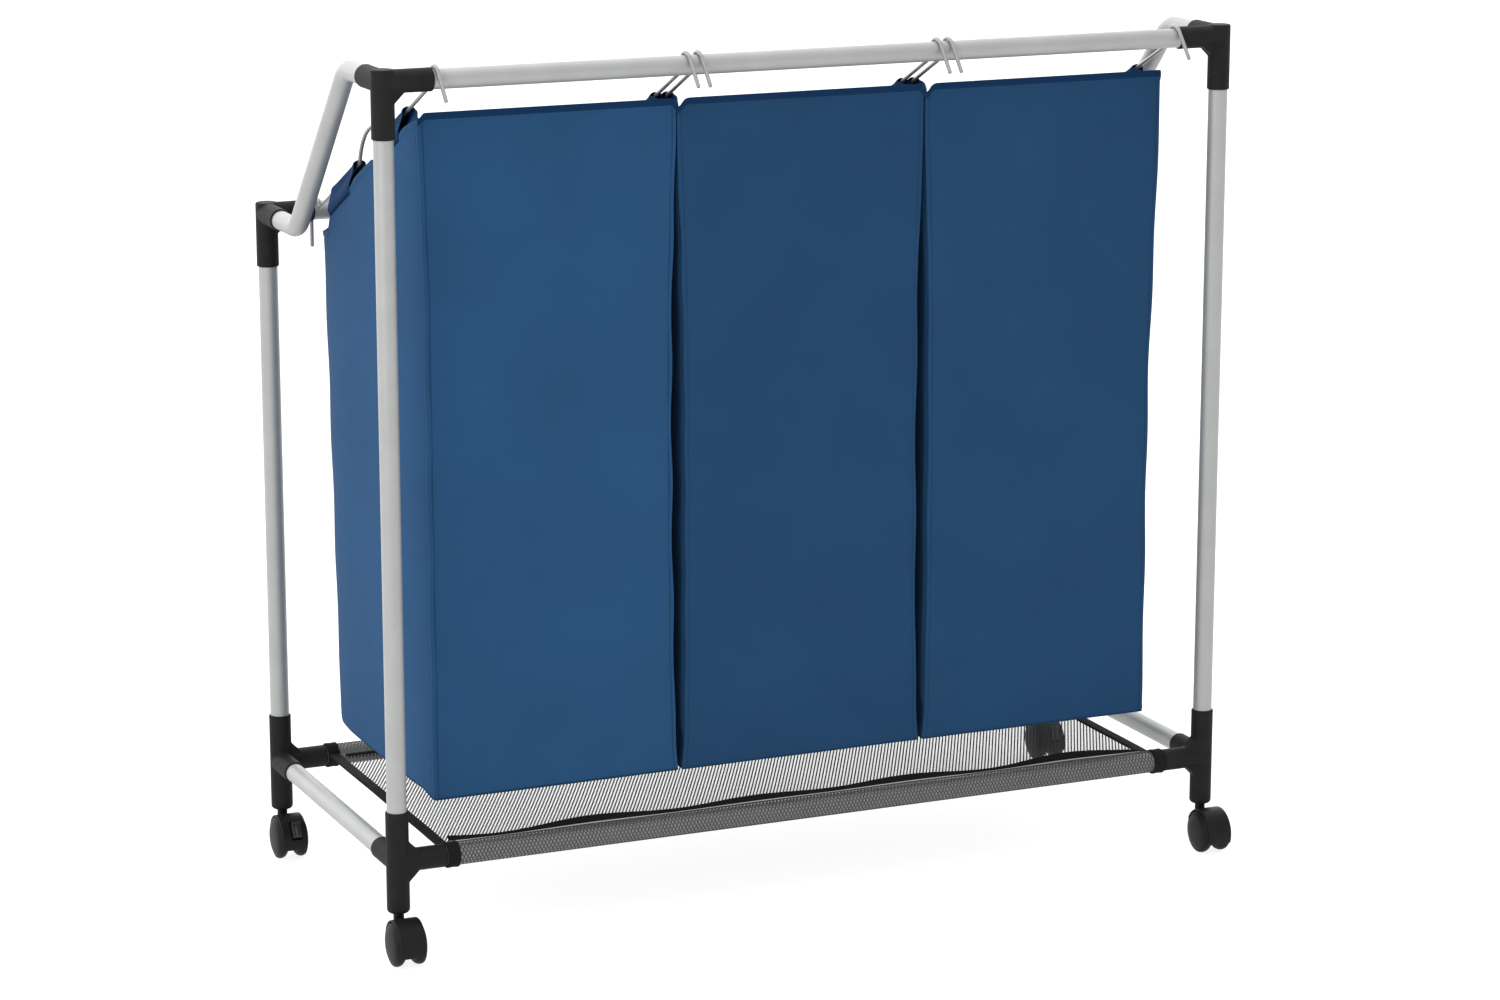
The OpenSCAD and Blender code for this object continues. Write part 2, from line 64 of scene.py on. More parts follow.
POST_X = middle("tall_post_right").x
TALL_Y = middle("tall_post_right").y
SHORT_Y = middle("short_post_right").y
MID_Y = (TALL_Y + SHORT_Y) / 2
HALF_DEPTH = SHORT_Y - MID_Y
TALL_Z = middle("top_tube_tall").z
SHORT_Z = middle("top_tube_short").z
BASE_Z = middle("base_tube_tall").z
BAG_PITCH = middle("bag_fabric_right").x
ROD_X = middle("bag_middle_rod_b").x
CORNERS = {"tall_left": (-1, -1), "tall_right": (1, -1),
           "short_left": (-1, 1), "short_right": (1, 1)}
BAGS = {"left": -1, "middle": 0, "right": 1}
X_AXIS = Vector((1, 0, 0))


def corner_place(signs, z):
    """A corner of the frame at height z, as a matrix."""
    return Matrix.Translation((signs[0] * POST_X, MID_Y + signs[1] * HALF_DEPTH, z))


# ---- mesh helpers ----


def add_object(name, verts, faces, material):
    mesh = bpy.data.meshes.new(name)
    mesh.from_pydata([tuple(v) for v in verts], [], [tuple(int(i) for i in f) for f in faces])
    mesh.validate()
    mesh.update()
    mesh.materials.append(material)
    mesh.polygons.foreach_set("use_smooth", [True] * len(mesh.polygons))
    obj = bpy.data.objects.new(name, mesh)
    bpy.context.scene.collection.objects.link(obj)
    return obj


class Builder:
    """Collects the vertices and faces of one piece."""

    def __init__(self):
        self.verts = []
        self.faces = []

    def add(self, verts, faces, matrix=None):
        start = len(self.verts)
        for v in verts:
            self.verts.append(matrix @ Vector(v) if matrix else Vector(v))
        self.faces += [[i + start for i in f] for f in faces]

    def grid(self, points, close_v=False):
        """Quads over points[i][j]."""
        rows, cols = len(points), len(points[0])
        start = len(self.verts)
        for row in points:
            self.verts += [Vector(p) for p in row]
        for i in range(rows - 1):
            for j in range(cols if close_v else cols - 1):
                here, across = start + i * cols, (j + 1) % cols
                self.faces.append([here + j, here + across, here + cols + across, here + cols + j])

    def rod(self, path, outline, across=None):
        """Sweeps a closed outline of (side, up) offsets along a path, with flat caps.

        The side is level and square to the path, or it keeps the direction across.
        """
        rings = []
        for i, p in enumerate(path):
            ahead = (path[min(i + 1, len(path) - 1)] - path[max(i - 1, 0)]).normalized()
            side = across or ahead.cross(Vector((0, 0, 1))).normalized()
            up = side.cross(ahead).normalized()
            rings.append([p + side * s + up * u for s, u in outline])
        start = len(self.verts)
        self.grid(rings, close_v=True)
        n = len(outline)
        self.faces.append([start + i for i in range(n)])
        last = start + (len(path) - 1) * n
        self.faces.append([last + n - 1 - i for i in range(n)])

    def lathe(self, profile, matrix, segments=48):
        """Turns a profile of (radius, height) about Z. Points on the axis become one vertex."""
        rings = []
        for radius, height in profile:
            ring = []
            for k in range(segments if radius > 0 else 1):
                angle = 2 * math.pi * k / segments
                spot = Vector((radius * math.cos(angle), radius * math.sin(angle), height))
                ring.append(len(self.verts))
                self.verts.append(matrix @ spot)
            rings.append(ring)
        for a, b in zip(rings, rings[1:]):
            for k in range(segments):
                m = (k + 1) % segments
                if len(a) == 1 and len(b) == 1:
                    break
                if len(a) == 1:
                    self.faces.append([a[0], b[m], b[k]])
                elif len(b) == 1:
                    self.faces.append([a[k], a[m], b[0]])
                else:
                    self.faces.append([a[k], a[m], b[m], b[k]])

    def prism(self, outline, matrix, width):
        """A flat outline of (x, y), extruded width about z = 0."""
        n = len(outline)
        verts = [(x, y, z) for z in (-width / 2, width / 2) for x, y in outline]
        faces = [list(range(n))[::-1], list(range(n, 2 * n))]
        faces += [[i, (i + 1) % n, n + (i + 1) % n, n + i] for i in range(n)]
        self.add(verts, faces, matrix)

    def build(self, name, material):
        return add_object(name, self.verts, self.faces, material)


def recalculate_normals(obj):
    shape = bmesh.new()
    shape.from_mesh(obj.data)
    bmesh.ops.recalc_face_normals(shape, faces=shape.faces)
    shape.to_mesh(obj.data)
    shape.free()


def bake_modifiers(obj):
    """Makes the evaluated shape the object's own mesh and drops the modifiers."""
    graph = bpy.context.evaluated_depsgraph_get()
    mesh = bpy.data.meshes.new_from_object(obj.evaluated_get(graph))
    obj.modifiers.clear()
    old = obj.data
    obj.data = mesh
    mesh.name = obj.name
    bpy.data.meshes.remove(old)


def moulded(obj, voxel, smoothing):
    """Fuses overlapping closed shapes into one skin with soft inner and outer corners."""
    recalculate_normals(obj)
    remesh = obj.modifiers.new("remesh", "REMESH")
    remesh.mode = "VOXEL"
    remesh.voxel_size = voxel
    remesh.use_smooth_shade = True
    soften = obj.modifiers.new("soften", "SMOOTH")
    soften.factor = 0.5
    soften.iterations = smoothing
    bake_modifiers(obj)


def thicken(obj, name, thickness):
    """Gives a sheet its thickness, about its own surface, and rounds it."""
    skin = obj.modifiers.new(name, "SOLIDIFY")
    skin.thickness = thickness
    skin.offset = 0
    soft = obj.modifiers.new("soft", "SUBSURF")
    soft.levels = soft.render_levels = 1


def rounded_box_outline(width, height, radius, steps=3):
    """A closed rounded rectangle of (x, y) points about the origin."""
    points = []
    for cx, cy, turn in ((1, 1, 0), (-1, 1, 90), (-1, -1, 180), (1, -1, 270)):
        for k in range(steps + 1):
            angle = math.radians(turn + 90 * k / steps)
            points.append((cx * (width / 2 - radius) + radius * math.cos(angle),
                           cy * (height / 2 - radius) + radius * math.sin(angle)))
    return points


def smoothstep(low, high, x):
    t = min(max((x - low) / (high - low), 0.0), 1.0)
    return t * t * (3 - 2 * t)


# ---- materials ----


def math_node(tree, operation, a, b=0.0):
    """A math node whose two inputs are values or other nodes' outputs."""
    made = tree.nodes.new("ShaderNodeMath")
    made.operation = operation
    for socket, value in zip(made.inputs, (a, b)):
        if isinstance(value, bpy.types.NodeSocket):
            tree.links.new(value, socket)
        else:
            socket.default_value = value
    return made.outputs[0]


class Shader:
    """A Principled material with helpers for its procedural nodes."""

    def __init__(self, name, roughness, metallic=0.0, **sockets):
        self.material = bpy.data.materials.new(name)
        self.material.use_nodes = True
        self.tree = self.material.node_tree
        self.main = self.tree.nodes["Principled BSDF"]
        self.main.inputs["Roughness"].default_value = roughness
        self.main.inputs["Metallic"].default_value = metallic
        for socket, value in sockets.items():
            self.main.inputs[socket.replace("_", " ")].default_value = value
        self.place = self.tree.nodes.new("ShaderNodeTexCoord").outputs["Object"]

    def link(self, source, target):
        self.tree.links.new(source, target)

    def node(self, kind, **inputs):
        made = self.tree.nodes.new(kind)
        for socket, value in inputs.items():
            target = made.inputs[socket.replace("_", " ")]
            if isinstance(value, bpy.types.NodeSocket):
                self.link(value, target)
            else:
                target.default_value = value
        return made

    def noise(self, scale, detail=3.0, roughness=0.5):
        return self.node("ShaderNodeTexNoise", Vector=self.place, Scale=scale, Detail=detail,
                         Roughness=roughness).outputs["Fac"]

    def ramp(self, source, low, high, low_color, high_color):
        made = self.node("ShaderNodeValToRGB", Fac=source)
        made.color_ramp.elements[0].position = low
        made.color_ramp.elements[1].position = high
        made.color_ramp.elements[0].color = (*low_color, 1)
        made.color_ramp.elements[1].color = (*high_color, 1)
        return made.outputs["Color"]

    def range(self, source, low, high):
        made = self.node("ShaderNodeMapRange", Value=source, To_Min=low, To_Max=high)
        return made.outputs["Result"]

    def math(self, operation, a, b=0.0):
        return math_node(self.tree, operation, a, b)

    def bump(self, height, distance, strength):
        made = self.node("ShaderNodeBump", Height=height, Distance=distance, Strength=strength)
        self.link(made.outputs["Normal"], self.main.inputs["Normal"])

    def color(self, source):
        self.link(source, self.main.inputs["Base Color"])

    def rough(self, source):
        self.link(source, self.main.inputs["Roughness"])

    def axes(self):
        split = self.node("ShaderNodeSeparateXYZ", Vector=self.place)
        return [split.outputs[axis] for axis in "XYZ"]


def shade(color, factor):
    return tuple(min(c * factor, 1.0) for c in color)


def painted_tube(name, color, roughness):
    """Satin metallic paint: smooth, with a faint orange-peel texture."""
    s = Shader(name, roughness, 0.4)
    s.color(s.ramp(s.noise(35), 0.3, 0.7, shade(color, 0.96), shade(color, 1.04)))
    s.rough(s.range(s.noise(300, 2), roughness - 0.04, roughness + 0.06))
    s.bump(s.noise(900, 2), 0.02 * MM, 0.3)
    return s.material


def moulded_plastic(name, color, roughness, grain, gloss):
    """Dark plastic with a fine moulded grain."""
    s = Shader(name, roughness, 0.0, Specular_IOR_Level=gloss)
    s.color(s.ramp(s.noise(60), 0.3, 0.75, shade(color, 0.85), shade(color, 1.2)))
    s.rough(s.range(s.noise(450, 3), roughness - 0.06, roughness + 0.08))
    s.bump(s.noise(2600, 2), 0.05 * MM, grain)
    return s.material


def woven_cloth(name, color, thread, sheen, gloss=0.08):
    """Plain weave of threads up Z and across X + Y, so that walls on either axis show both."""
    s = Shader(name, 0.82, 0.0, Sheen_Weight=sheen, Sheen_Roughness=0.4, Specular_IOR_Level=gloss)
    x, y, z = s.axes()
    turn = math.pi / thread
    across = s.math("SINE", s.math("MULTIPLY", s.math("ADD", x, y), turn))
    leaning_z = s.math("ADD", z, s.math("MULTIPLY", y, 0.02))
    up = s.math("SINE", s.math("MULTIPLY", leaning_z, turn))
    weave = s.math("MULTIPLY", across, up)
    slub = s.noise(1.0 / (6 * thread), 4, 0.6)
    height = s.math("ADD", s.math("MULTIPLY", weave, 0.5), s.math("MULTIPLY", slub, 0.35))
    patches = s.math("MULTIPLY", s.noise(9, 4, 0.55), 0.7)
    tone = s.math("ADD", patches, s.math("MULTIPLY", weave, 0.16))
    s.color(s.ramp(tone, 0.15, 0.6, shade(color, 0.9), shade(color, 1.1)))
    s.rough(s.range(s.noise(40, 3), 0.76, 0.9))
    s.bump(height, 0.1 * MM, 0.45)
    return s.material


def brushed_metal(name, color):
    s = Shader(name, 0.35, 1.0)
    s.color(s.ramp(s.noise(80), 0.3, 0.7, shade(color, 0.9), shade(color, 1.08)))
    s.rough(s.range(s.noise(500, 3), 0.28, 0.45))
    s.bump(s.noise(1500, 2), 0.02 * MM, 0.3)
    return s.material


TUBE_PAINT = painted_tube("tube_paint", (0.332, 0.337, 0.332), 0.46)
# The rods have the tubes' paint; this darker copy of it is painted shade.
ROD_FINISH_PAINTED_SHADE = painted_tube("rod_finish_painted_shade", (0.26, 0.26, 0.255), 0.34)
CORNER_PLASTIC = moulded_plastic("corner_plastic", (0.0105, 0.0105, 0.011), 0.6, 0.5, 0.1)
CASTER_PLASTIC = moulded_plastic("caster_plastic", (0.0065, 0.0066, 0.007), 0.45, 0.25, 0.13)
WHEEL_PLASTIC = moulded_plastic("wheel_plastic", (0.007, 0.007, 0.0075), 0.48, 0.3, 0.12)
# A lighter copy of the black caster plastic: a painted highlight on the brake lever's lit tab.
BRAKE_HIGHLIGHT_PLASTIC = moulded_plastic("brake_highlight_plastic", (0.02, 0.0205, 0.0215), 0.4, 0.25, 0.35)
BOARD_PLASTIC = moulded_plastic("board_plastic", (0.05, 0.06, 0.07), 0.5, 0.3, 0.4)
STEEL = brushed_metal("stem_steel", (0.55, 0.55, 0.54))

BAG_BLUE = (0.0142, 0.0545, 0.129)
# Lit and shaded copies of one blue cloth: the left bag's copy is lighter, painted light, and the
# middle and right bags' copies are darker, painted shade, as the light falls off to the right.
BAG_PAINTED_LIGHT_SHADE = {"left": 1.08, "middle": 0.84, "right": 0.87}
BAG_THREAD, BAG_SHEEN = 0.55 * MM, 0.012
BAG_CLOTH = {bag: woven_cloth(f"bag_cloth_{bag}", shade(BAG_BLUE, tone), BAG_THREAD, BAG_SHEEN)
             for bag, tone in BAG_PAINTED_LIGHT_SHADE.items()}
SEAM_CLOTH = woven_cloth("seam_cloth", shade(BAG_BLUE, 0.66), BAG_THREAD, BAG_SHEEN)
HEM_CLOTH = woven_cloth("hem_cloth", (0.0035, 0.023, 0.068), BAG_THREAD, BAG_SHEEN)
# The casings are of the bags' cloth; this darker copy of it is painted shade.
CASING_PAINTED_SHADE_CLOTH = woven_cloth("casing_painted_shade_cloth", (0.0055, 0.03, 0.082), BAG_THREAD, 0.0, 0.04)
# A painted shadow under each casing's lower edge, put on its closing strips.
CASING_EDGE_PAINTED_SHADOW = woven_cloth("casing_edge_painted_shadow", (0.002, 0.012, 0.036), BAG_THREAD, 0.0, 0.04)
TAPE_CLOTH = woven_cloth("binding_tape", (0.008, 0.008, 0.0085), 0.5 * MM, 0.012)
MESH_THREAD = woven_cloth("mesh_thread", (0.072, 0.073, 0.073), 0.4 * MM, 0.02)
# A pale cord as a painted highlight: the light line along each sleeve's seam tape, where the sleeve
# starts to curve down.
HIGHLIGHT_CORD_PAINT = woven_cloth("painted_highlight_cord", (0.5, 0.5, 0.49), 0.4 * MM, 0.05)

CAD_FINISH = {
    "tube_metal": TUBE_PAINT, "corner_plastic": CORNER_PLASTIC, "shelf_mesh": MESH_THREAD,
    "shelf_trim": TAPE_CLOTH, "stem_steel": STEEL, "caster_plastic": CASTER_PLASTIC,
    "wheel_plastic": WHEEL_PLASTIC, "bag_cloth": BAG_CLOTH["middle"],
    "board_plastic": BOARD_PLASTIC, "rod_metal": ROD_FINISH_PAINTED_SHADE,
}


def finish_cad_nodes():
    for entry in frame["record"]["subparts"]:
        obj = frame["nodes"][entry["node"]]
        obj.data.materials.clear()
        obj.data.materials.append(CAD_FINISH[entry["material_slot"]])


# ---- stage ----

CAMERA_YAW, CAMERA_PITCH = -0.4157, 0.2289
CAMERA_FROM_MIDDLE = Vector((-1.5786, -3.5952, 1.2639))
LENS, SENSOR = 100.84, 36
FLOOR_HALF = 12
LAMP_TARGET = Vector((0, 0, 0.4))


def camera_and_stage():
    """The camera stands in front, to the left and above, and looks down by CAMERA_PITCH."""
    data = bpy.data.cameras.new("camera")
    data.sensor_width = SENSOR
    data.lens = LENS
    camera = bpy.data.objects.new("camera", data)
    camera.location = CAMERA_FROM_MIDDLE + Vector((0, MID_Y, 0))
    camera.rotation_euler = (math.pi / 2 - CAMERA_PITCH, 0, CAMERA_YAW)
    bpy.context.scene.collection.objects.link(camera)
    bpy.context.scene.camera = camera

    paint = Shader("floor_paint", 0.9, 0.0, Base_Color=(0.3, 0.3, 0.3, 1),
                   Emission_Color=(1, 1, 1, 1), Emission_Strength=0.84)
    corners = [(x * FLOOR_HALF, y * FLOOR_HALF, 0) for x, y in ((-1, -1), (1, -1), (1, 1), (-1, 1))]
    floor = add_object("floor", corners, [(0, 1, 2, 3)], paint.material)
    studio_light()


def studio_light():
    """A white room, brighter above and behind, with soft lamps above and on the left."""
    world = bpy.data.worlds.new("studio")
    world.use_nodes = True
    tree = world.node_tree
    direction = tree.nodes.new("ShaderNodeTexCoord").outputs["Generated"]
    split = tree.nodes.new("ShaderNodeSeparateXYZ")
    tree.links.new(direction, split.inputs[0])
    height = math_node(tree, "MAXIMUM", split.outputs["Z"], 0.0)
    above = math_node(tree, "MULTIPLY", math_node(tree, "MULTIPLY", height, height), 0.5)
    away = math_node(tree, "MAXIMUM", split.outputs["Y"], 0.0)
    behind = math_node(tree, "MULTIPLY", away, 1.5)
    leftward = math_node(tree, "MULTIPLY", split.outputs["X"], -0.12)
    uneven = math_node(tree, "ADD", math_node(tree, "ADD", above, behind), leftward)
    strength = math_node(tree, "ADD", uneven, 0.97)
    tree.links.new(strength, tree.nodes["Background"].inputs["Strength"])
    tree.nodes["Background"].inputs["Color"].default_value = (1, 1, 1, 1)
    bpy.context.scene.world = world
    for name, at, power, size in (
        ("overhead", (-0.3, 0.2, 2.6), 12, 2.2),
        ("left_side", (-1.9, -1.2, 1.2), 13, 1.2),
    ):
        lamp = bpy.data.lights.new(name, "AREA")
        lamp.energy = power
        lamp.size = size
        obj = bpy.data.objects.new(name, lamp)
        obj.location = at
        obj.rotation_euler = (LAMP_TARGET - Vector(at)).to_track_quat("-Z", "Y").to_euler()
        bpy.context.scene.collection.objects.link(obj)
    bpy.context.scene.view_settings.view_transform = "Standard"


# ---- bags ----

# The rods' line, from the tall side's tube down to the short side's.
ROD_SLOPE = (TALL_Z - SHORT_Z) / (SHORT_Y - TALL_Y)
ROD_MID_Z = (TALL_Z + SHORT_Z) / 2 - 2 * MM
SEAM_DROP = 26 * MM

# The body's box, and where its near and far walls stand at their tops and bottoms.
BAG_FLOOR_Z, HEM_Z = (corner.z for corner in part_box("bag_fabric_middle"))
BAG_HEIGHT = HEM_Z - BAG_FLOOR_Z
FAR_EDGE_Z = 617 * MM
BAG_HALF = 120.2 * MM
NEAR_TOP, NEAR_BOTTOM = MID_Y - 142 * MM, MID_Y - 145 * MM
FAR_TOP, FAR_BOTTOM = MID_Y + 139.5 * MM, MID_Y + 119 * MM
BAG_DEPTH = FAR_TOP - NEAR_TOP
CLOTH = 1.1 * MM

# How the side walls leave their flat planes, on the outer sides and between two bags.
TOP_SPREAD, FLOOR_SPREAD = 2.4 * MM, 1.2 * MM
INNER_SLACK = 3.4 * MM
GAP_SHIFT = 2.6 * MM
WALL_TUCK = 3 * MM
LEFT_FLARE, RIGHT_TAPER = 3.2 * MM, 6.5 * MM
LEFT_BELLY, RIGHT_BELLY, INNER_BELLY = 8 * MM, 1.5 * MM, 0.8 * MM
OUTER_LIFT, INNER_LIFT = 5.5 * MM, 1.5 * MM
FAR_TUCK, FAR_TUCK_HEIGHT = 8 * MM, 16 * MM

# The side walls' top edge, and where the casings start and end along it.
CASINGS = ((-103 * MM, -36 * MM), (36 * MM, 110 * MM))
CASING_BLEND = 8 * MM
WALL_DROP, CASING_TUCK = 17 * MM, 5 * MM
CORNER_LAP = 5.5 * MM
FALL_START, FALL_END = MID_Y + 100 * MM, MID_Y + 111 * MM
FAR_DIP_START, FAR_DIP = MID_Y + 112 * MM, 2 * MM

# Grid lines in from an edge, and how far each one stands out.
GRID_PITCH, ROW_PITCH = 9 * MM, 9.5 * MM
EDGE_COLUMNS = [e * MM for e in (0, 1.2, 2.8, 3.9, 5.4, 8.4, 14)]
EDGE_RELIEF = [r * MM for r in (0.2, 0.3, -0.15, -0.15, 0.2, 0.1, 0)]
STITCH_COLUMN = 2
FLOOR_ROWS = [e * MM for e in (0, 2, 5, 9, 14)]
HEM_ROWS = [e * MM for e in (0, 2, 4.4, 6.4, 7.6, 9.5, 14)]
HEM_RELIEF = [r * MM for r in (0.9, 1.0, 1.0, 0.9, -0.3)]
HEM_BAND = 4

# A casing's section is (out, down) from the rod: up one leg, round the loop, down the other.
LOOP_R = 3.4 * MM
CASING_LOOP = [(math.cos(t) * LOOP_R, -math.sin(t) * LOOP_R) for t in np.linspace(0, math.pi, 9)]
CASING_LEG = [(w * MM, h * MM)
              for w, h in ((1.15, 28), (1.15, 26), (1.7, 21), (2.6, 15), (3.3, 9), (3.6, 4))]
CASING_SECTION = CASING_LEG + CASING_LOOP + [(-w, h) for w, h in reversed(CASING_LEG)]
CASING_STEPS = 18
LOOP_INSET, LOOP_INSET_HEIGHT = 4 * MM, 6 * MM
FAR_TRIM = 11 * MM
SWAY = 0.6 * MM

DRAPE_FRAMES = 18
DRAPE_CAP = 4 * MM


def rod_z(y):
    return ROD_MID_Z - ROD_SLOPE * (y - MID_Y)


def spread_columns(length, edge_steps, pitch):
    """Places from 0 to length: close together near both ends, then at an even pitch."""
    inner = length - 2 * edge_steps[-1]
    count = max(round(inner / pitch), 2)
    middle_part = [edge_steps[-1] + inner * k / count for k in range(1, count)]
    return [*edge_steps, *middle_part, *[length - e for e in reversed(edge_steps)]]


class BagShell:
    """The sewn body of a bag as a box of grid lines, open at the top.

    A grid line's place is a across (-1 to 1), b back (0 to 1) and t up (0 to 1).
    """

    def __init__(self, bag, seed):
        self.cx = BAGS[bag] * BAG_PITCH
        self.outer_side = BAGS[bag]
        rand = random.Random(seed)
        across = spread_columns(2 * BAG_HALF, EDGE_COLUMNS, GRID_PITCH)
        back = spread_columns(BAG_DEPTH, EDGE_COLUMNS, GRID_PITCH)
        inner = BAG_HEIGHT - FLOOR_ROWS[-1] - HEM_ROWS[-1]
        count = round(inner / ROW_PITCH)
        between = [FLOOR_ROWS[-1] + inner * k / count for k in range(1, count)]
        up = [*FLOOR_ROWS, *between, *[BAG_HEIGHT - row for row in reversed(HEM_ROWS)]]
        self.xs = [x / BAG_HALF - 1 for x in across]
        self.ys = [y / BAG_DEPTH for y in back]
        self.zs = [z / BAG_HEIGHT for z in up]
        self.counts = len(self.xs), len(self.ys), len(self.zs)
        self.waves = [(rand.uniform(70, 160) * MM, rand.uniform(0, 2 * math.pi),
                       rand.uniform(0.4, 0.9) * MM) for _ in range(4)]

    def wave(self, index, z):
        length, phase, size = self.waves[index]
        return size * math.sin(2 * math.pi * z / length + phase)

    def wall_edge_z(self, y):
        """The side walls' top edge.

        It is tucked into the casings, higher between them, and runs up to the near hem.
        """
        back = y - MID_Y
        in_casing = max(smoothstep(a - CASING_BLEND, a, back)
                        * (1 - smoothstep(b, b + CASING_BLEND, back)) for a, b in CASINGS)
        drop = WALL_DROP + CASING_TUCK * in_casing
        mouth = MID_Y + CASINGS[0][0] + 4 * MM
        rise = min(max((mouth - y) / (mouth - NEAR_TOP), 0), 1)
        side = (rod_z(max(y, mouth)) - drop) * (1 - rise) + (HEM_Z - CORNER_LAP) * rise
        fall = smoothstep(FALL_START, FALL_END, y)
        far_edge = FAR_EDGE_Z - FAR_DIP * smoothstep(FAR_DIP_START, FAR_TOP, y)
        return side * (1 - fall) + far_edge * fall

    def edge_z(self, a, b):
        """Height of the top edge. The near and far walls have cut corners."""
        from_left, from_right = (1 + a) * BAG_HALF, (1 - a) * BAG_HALF
        left_cut = 5 * MM if self.outer_side < 0 else 8 * MM
        chamfer = left_cut * (1 - smoothstep(0, left_cut, from_left))
        if self.outer_side <= 0:
            right_cut, right_drop = 3.5 * MM, 6.5 * MM
            chamfer += right_drop * (1 - smoothstep(0, right_cut, from_right))
        if b <= 1e-6:
            return HEM_Z - chamfer
        if b >= 1 - 1e-6:
            return FAR_EDGE_Z - chamfer * 0.6
        return self.wall_edge_z(NEAR_TOP + b * BAG_DEPTH)

    def half_width(self, side, share):
        """Half the width on one side, at a share of the height.

        Two bags nearly touch at the hem and are slack below it.
        """
        half = BAG_HALF
        if side != self.outer_side:
            slack = math.sin(math.pi * min(share * 1.1, 1)) ** 0.6
            half += TOP_SPREAD * smoothstep(0.62, 1, share) - INNER_SLACK * slack
            half += FLOOR_SPREAD * (1 - smoothstep(0, 0.05, share)) - side * GAP_SHIFT
        elif side > 0:
            half -= RIGHT_TAPER * (1 - smoothstep(0.45, 0.97, share))
        else:
            half += LEFT_FLARE * smoothstep(0.72, 1, share)
        return half

    def belly(self, side, b, share):
        """How far a side wall bulges: only the outer walls have room for it."""
        room = INNER_BELLY
        if side == self.outer_side:
            room = LEFT_BELLY if side < 0 else RIGHT_BELLY
        swell = 0.55 + 0.45 * math.sin(math.pi * min(share, 1))
        return room * (1 - abs(2 * b - 1) ** 5) * swell

    def point(self, a, b, t):
        side = 1 if a > 0 else -1
        outer = side == self.outer_side
        lift = OUTER_LIFT if outer else INNER_LIFT
        z = BAG_FLOOR_Z + t * (self.edge_z(a, b) - BAG_FLOOR_Z)
        z += lift * smoothstep(0, 0.1, b) * max(0, abs(a) - 0.9) * 10 * (1 - t) ** 8
        share = (z - BAG_FLOOR_Z) / BAG_HEIGHT
        near = NEAR_BOTTOM + (NEAR_TOP - NEAR_BOTTOM) * share
        far_share = min((z - BAG_FLOOR_Z) / (FAR_EDGE_Z - BAG_FLOOR_Z), 1.0)
        far = FAR_BOTTOM + (FAR_TOP - FAR_BOTTOM) * far_share
        far -= FAR_TUCK * (1 - smoothstep(0, FAR_TUCK_HEIGHT, z - BAG_FLOOR_Z)) ** 2
        reach = self.half_width(side, share) + self.belly(side, b, share)
        if not outer:
            below_hem = 1 - smoothstep(0.8, 0.97, share)
            reach -= WALL_TUCK * smoothstep(0, 0.012, b) * smoothstep(0, 0.04, share) * below_hem
        x = self.cx + a * reach
        if abs(a) > 0.97:
            fade = math.sin(math.pi * share) ** 0.5 if 0 < share < 1 else 0
            x += side * self.wave(0 if a > 0 else 1, z) * fade * (1 - b * 0.4)
        return Vector((x, near + b * (far - near), z))

    def build(self):
        """Vertices, faces, and each grid place's vertex."""
        index, verts, faces = {}, [], []

        def quad(*places):
            for place in places:
                if place not in index:
                    i, j, k = place
                    index[place] = len(verts)
                    verts.append(self.point(self.xs[i], self.ys[j], self.zs[k]))
            faces.append([index[place] for place in places])

        right, far, top = (count - 1 for count in self.counts)
        for k in range(top):
            for i in range(right):
                quad((i, 0, k), (i + 1, 0, k), (i + 1, 0, k + 1), (i, 0, k + 1))
                quad((i + 1, far, k), (i, far, k), (i, far, k + 1), (i + 1, far, k + 1))
            for j in range(far):
                quad((right, j, k), (right, j + 1, k), (right, j + 1, k + 1), (right, j, k + 1))
                quad((0, j + 1, k), (0, j, k), (0, j, k + 1), (0, j + 1, k + 1))
        for i in range(right):
            for j in range(far):
                quad((i, j, 0), (i, j + 1, 0), (i + 1, j + 1, 0), (i + 1, j, 0))
        return verts, faces, index

    def from_seam(self, i, j):
        """How many grid lines a place is from the nearer upright seam of its wall."""
        nx, ny, _ = self.counts
        return min(i, nx - 1 - i) if j in (0, ny - 1) else min(j, ny - 1 - j)


def casing(builder, shell, toward, y_start, y_end, seed):
    """A sleeve of cloth over the rod. Its section is a drop that closes on the side wall.

    The inner layer of the casing on the tall side goes on to the bag's corner.
    """
    phase = random.Random(seed).uniform(0, 2 * math.pi)
    rod_x = shell.cx + toward * ROD_X
    corner_gap = MID_Y + y_start - NEAR_TOP
    corner_drop = rod_z(NEAR_TOP) - HEM_Z + CORNER_LAP
    rows = []
    for w, h in CASING_SECTION:
        row = []
        share = min(max(h / SEAM_DROP, 0), 1)
        high = y_end - FAR_TRIM * share ** 4 if y_end > 0 else y_end
        tip = LOOP_INSET * max(0.0, 1 - abs(h + LOOP_R) / LOOP_INSET_HEIGHT) ** 1.5
        if y_start < 0 and w * toward < 0:
            tip -= corner_gap * min(max(h / corner_drop, 0), 1)
        for k in range(CASING_STEPS + 1):
            t = k / CASING_STEPS
            y = MID_Y + y_start + tip * (0.3 if tip > 0 else 1) + (high - y_start - tip) * t
            z = rod_z(y) - h
            sway = SWAY * math.sin(t * 9 + phase) * share * (1 - share) * 4
            mouths = 0.75 * (1 - smoothstep(0, 0.2, t)) + 0.3 * smoothstep(0.85, 1, t)
            flare = 1 + (1 - share) * mouths
            up = (z - BAG_FLOOR_Z) / BAG_HEIGHT
            bulge = shell.belly(toward, (y - NEAR_TOP) / BAG_DEPTH, up)
            wall_x = shell.cx + toward * (shell.half_width(toward, up) + bulge)
            on_wall = smoothstep(3 * MM, SEAM_DROP - 3 * MM, h)
            row.append((rod_x + (wall_x - rod_x) * on_wall + w * flare + sway, y, z))
        rows.append(row)
    builder.grid(rows)


